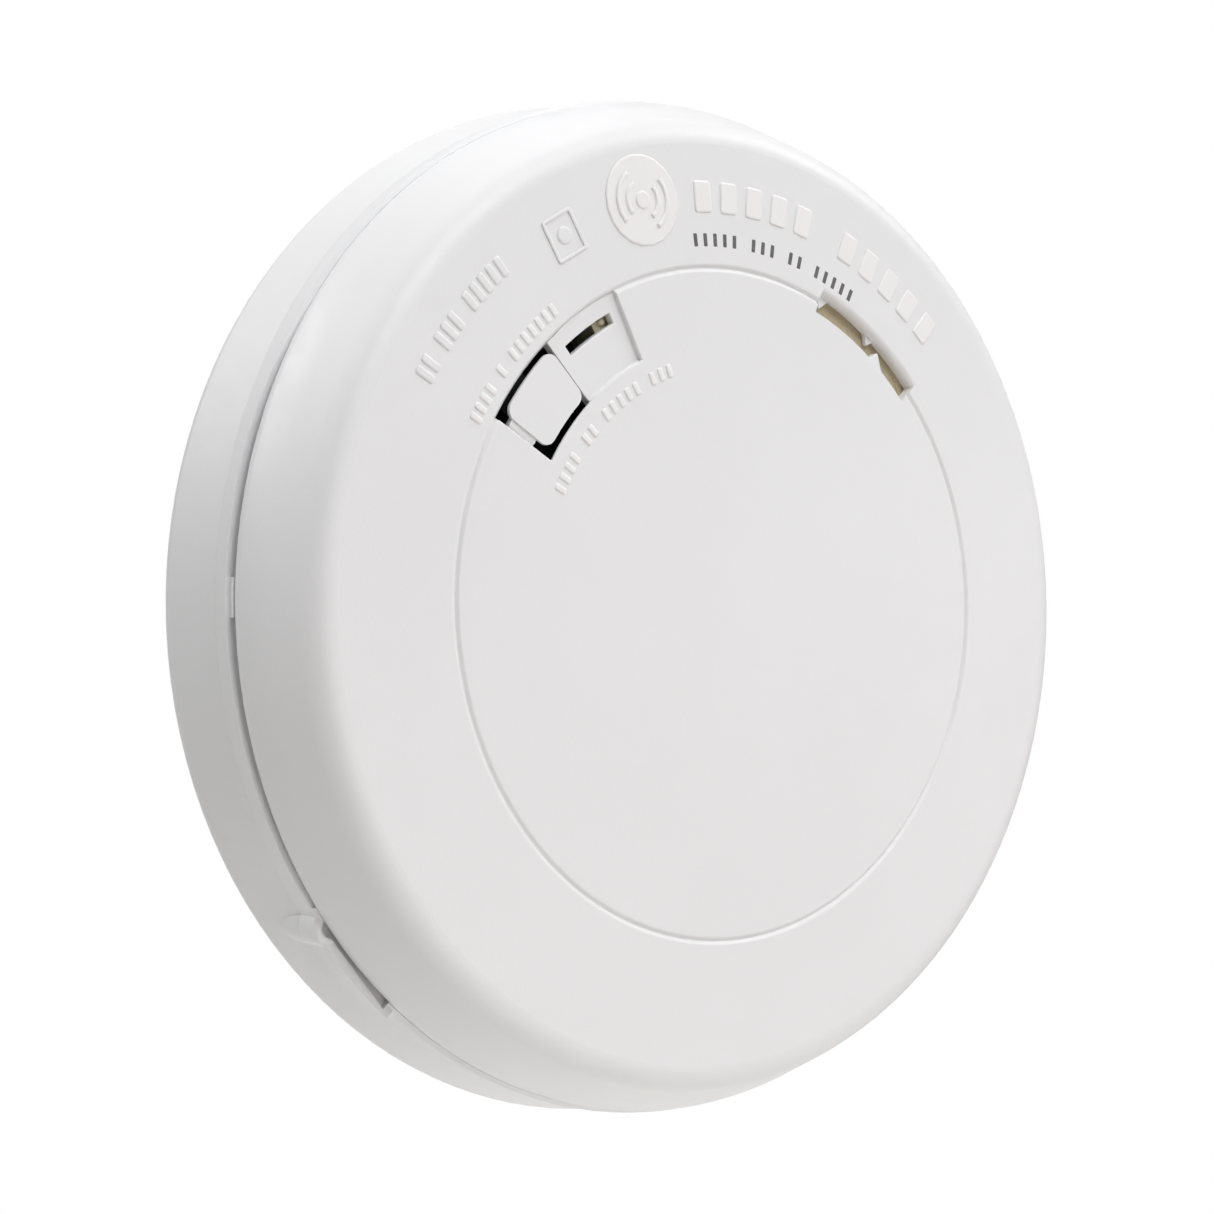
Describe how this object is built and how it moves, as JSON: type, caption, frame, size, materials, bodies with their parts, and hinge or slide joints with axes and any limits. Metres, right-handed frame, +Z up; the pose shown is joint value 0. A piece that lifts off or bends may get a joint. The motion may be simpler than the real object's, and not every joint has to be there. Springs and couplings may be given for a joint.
{
  "type": "carbon monoxide detector",
  "caption": "Slim round wall or ceiling alarm for smoke and carbon monoxide, with a hinged test button, side air inlets and a twist-lock mounting bracket.",
  "frame": {"origin": "centre of the mounting bracket's wall face, midway between the wall screw holes", "axes": "+Y into the wall, so the alarm's front faces -Y; +X to the right seen from the front; +Z up"},
  "size_m": [0.1466, 0.0289, 0.1466],
  "materials": {
    "cover_plastic": "white moulded plastic, fine satin grain",
    "housing_plastic": "white moulded plastic, fine satin grain",
    "bracket_plastic": "white moulded plastic, fine satin grain",
    "button_plastic": "white moulded plastic, slightly smoother than the cover",
    "black_plastic": "black moulded plastic",
    "board": "black solder mask on glass-epoxy board",
    "zinc_steel": "zinc-plated steel",
    "brass": "thin brass sheet, satin",
    "piezo_ceramic": "silvered piezo ceramic",
    "foam": "tan closed-cell foam",
    "cream_plastic": "cream moulded plastic",
    "sensor_metal": "nickel-plated steel can",
    "gold_plate": "gold-flashed contact metal",
    "nickel": "nickel strip",
    "cell_sleeve": "shrink sleeve in plain blue",
    "red_wire": "red wire insulation",
    "black_wire": "black wire insulation",
    "led_body": "clear tan light body",
    "clear_blue": "tinted clear plastic",
    "dark_filter": "dark infrared-pass plastic",
    "copper_winding": "enamelled copper winding",
    "slider_red": "red moulded plastic",
    "label_foil": "plain silver foil label",
    "chip_ceramic": "small ceramic chip parts",
    "screen_metal": "stainless insect screen"
  },
  "bodies": {
    "bracket": {"mounting_bracket": "bracket_plastic"},
    "alarm": {"rear_housing": "housing_plastic", "front_cover": "cover_plastic", "switch_body": "black_plastic", "circuit_board": "board", "board_screws": "zinc_steel", "housing_screws": "zinc_steel", "chamber_base": "black_plastic", "chamber_lid": "black_plastic", "insect_screen": "screen_metal", "ir_emitter": "clear_blue", "photodiode": "dark_filter", "co_sensor_can": "sensor_metal", "co_sensor_cap": "cream_plastic", "co_sensor_pins": "gold_plate", "horn_housing": "housing_plastic", "piezo_disc": "brass", "piezo_element": "piezo_ceramic", "horn_contacts": "gold_plate", "horn_gasket": "foam", "battery_cell_1": "cell_sleeve", "battery_cell_2": "cell_sleeve", "battery_tabs": "nickel", "battery_lead_red": "red_wire", "battery_lead_black": "black_wire", "battery_connector": "cream_plastic", "status_led": "led_body", "microcontroller": "black_plastic", "capacitors": "black_plastic", "horn_transformer": "copper_winding", "chip_components": "chip_ceramic", "shutoff_switch": "black_plastic", "rear_label": "label_foil"},
    "button": {"test_button": "button_plastic"},
    "plunger": {"switch_plunger": "black_plastic"},
    "shutoff": {"shutoff_slider": "slider_red"}
  },
  "joints": [
    {"name": "twist_lock", "type": "hinge", "parent": "bracket", "child": "alarm", "pos_m": [0, 0, 0], "axis": [0, -1, 0], "range_deg": [0, 16]},
    {"name": "button_press", "type": "hinge", "parent": "alarm", "child": "button", "pos_m": [-0.03606, -0.028, 0.02124], "axis": [-0.8616, 0, 0.5075], "range_deg": [0, 4], "stiffness_Nm_per_rad": 0.3, "springref_deg": -0.57},
    {"name": "plunger_travel", "type": "slide", "parent": "alarm", "child": "plunger", "axis": [0, 1, 0], "range_m": [0, 0.0004]},
    {"name": "shutoff_slide", "type": "slide", "parent": "alarm", "child": "shutoff", "axis": [1, 0, 0], "range_m": [0, 0.004]}
  ],
  "couplings": [
    {"joint": "plunger_travel", "follows": "button_press", "m_per_rad": 0.005469}
  ]
}
